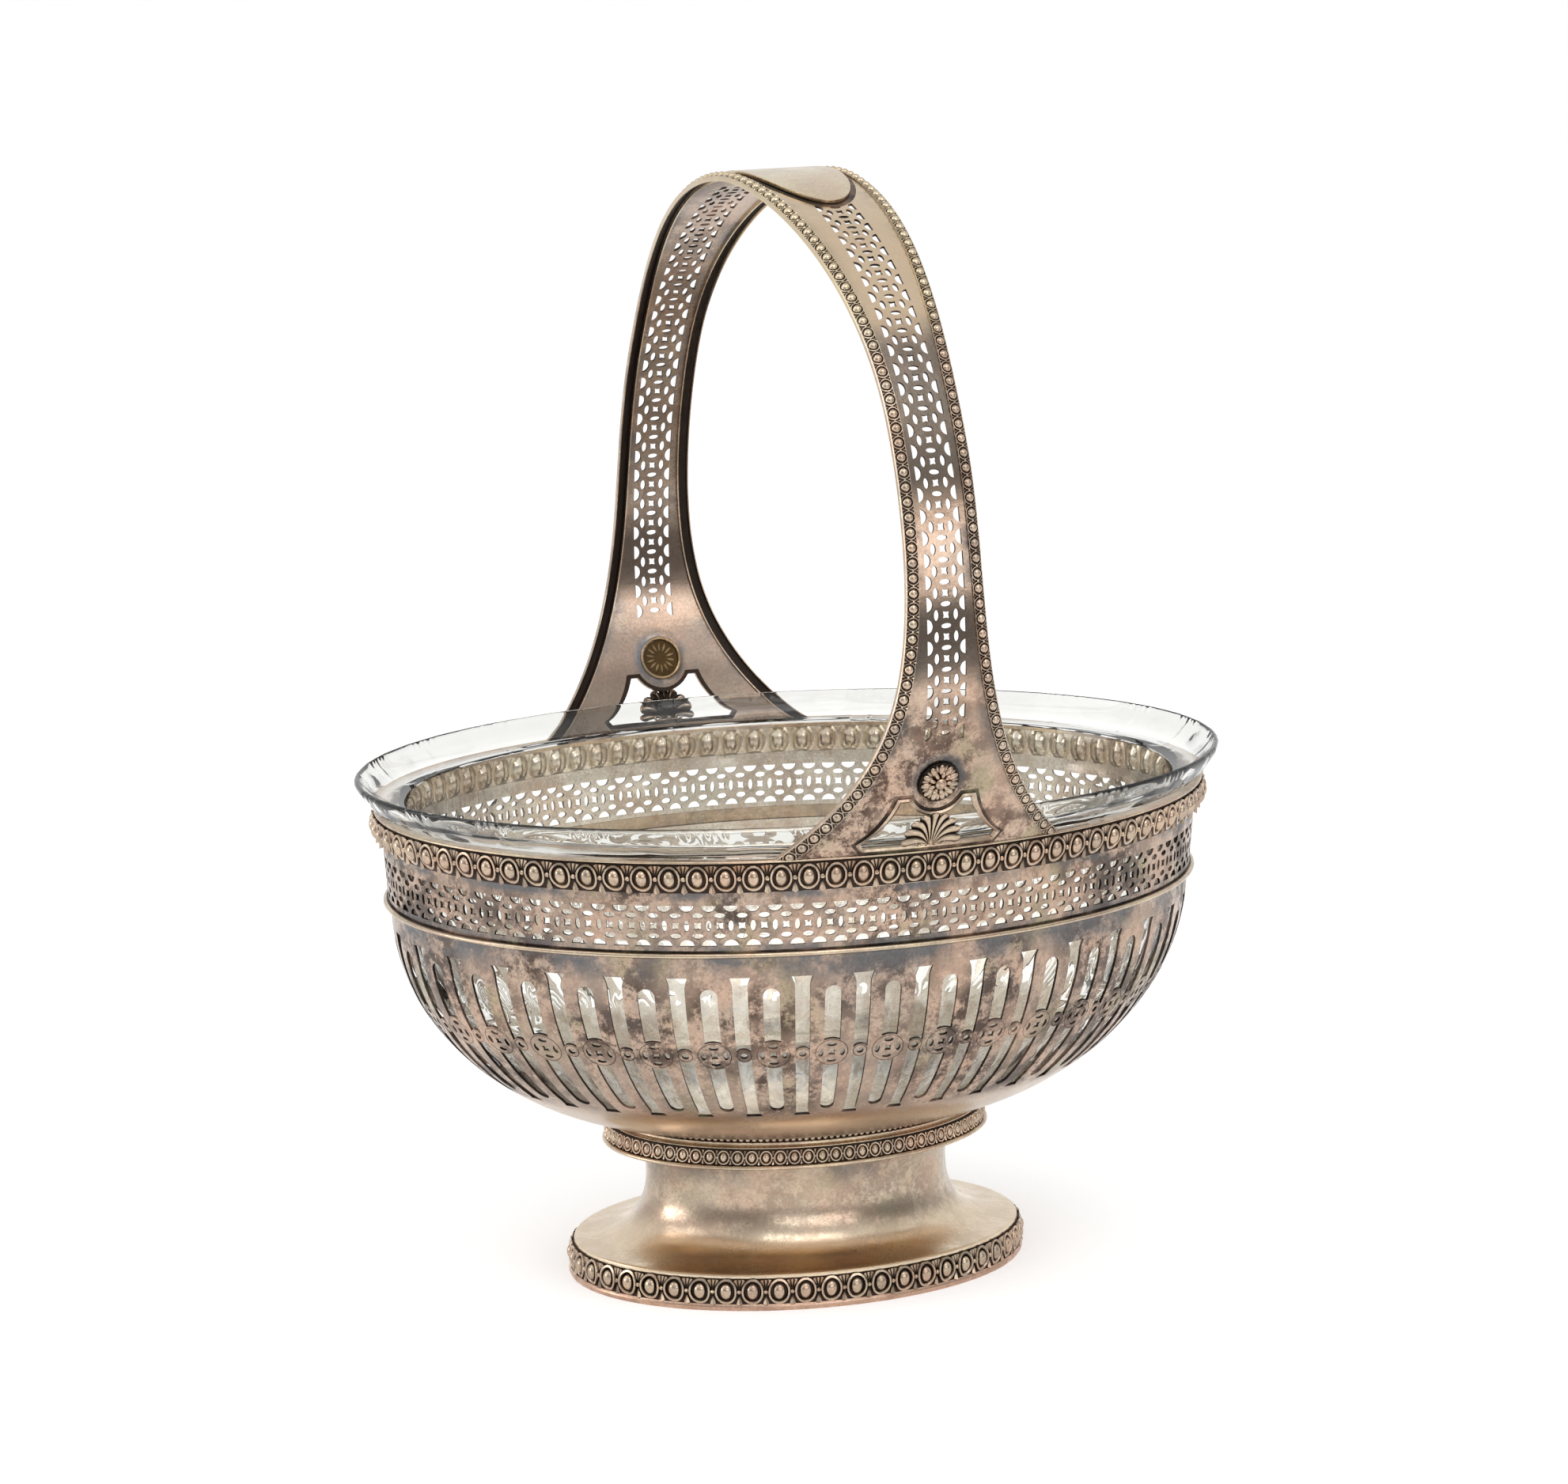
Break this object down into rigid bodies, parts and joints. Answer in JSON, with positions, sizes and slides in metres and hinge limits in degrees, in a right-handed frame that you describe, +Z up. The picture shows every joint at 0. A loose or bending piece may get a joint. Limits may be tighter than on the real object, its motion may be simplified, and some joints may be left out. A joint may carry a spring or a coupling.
{
  "type": "pierced silver basket",
  "caption": "Oval pierced silver basket on a trumpet foot, with a fixed strap handle and a loose glass liner that lifts out.",
  "frame": {"origin": "centre of the foot's underside, on the surface that the basket stands on", "axes": "+Z up, +X along the long axis of the oval, +Y across it, with the handle arching from -Y to +Y"},
  "size_m": [0.24, 0.2024, 0.2962],
  "materials": {
    "raised_silver": "polished silver sheet with warm brown and grey tarnish",
    "stamped_silver": "stamped silver, bright on top and oxidised dark in the hollows",
    "warm_silver": "polished silver with a champagne tone",
    "liner_glass": "clear, faintly green, with cut decoration on the lip"
  },
  "bodies": {
    "basket": {"foot_base_wire": "raised_silver", "foot_egg_band": "stamped_silver", "foot_shell": "raised_silver", "collar_lip": "raised_silver", "collar_egg_band": "stamped_silver", "collar_step": "raised_silver", "collar_pearl_wire": "stamped_silver", "bowl_shell": "raised_silver", "shoulder_wire": "raised_silver", "gallery_band": "raised_silver", "rim_egg_band": "stamped_silver", "rim_lip": "raised_silver", "handle_strap": "raised_silver", "handle_border_left": "stamped_silver", "handle_border_right": "stamped_silver", "handle_cartouche": "warm_silver", "rosette_front": "stamped_silver", "rosette_back": "stamped_silver", "opening_frame_front": "raised_silver", "opening_frame_back": "raised_silver", "palmette_front": "raised_silver", "palmette_back": "raised_silver"},
    "liner": {"glass_liner": "liner_glass"}
  },
  "joints": [
    {"name": "liner_lift", "type": "slide", "parent": "basket", "child": "liner", "axis": [0, 0, 1], "range_m": [0, 0.09]}
  ]
}
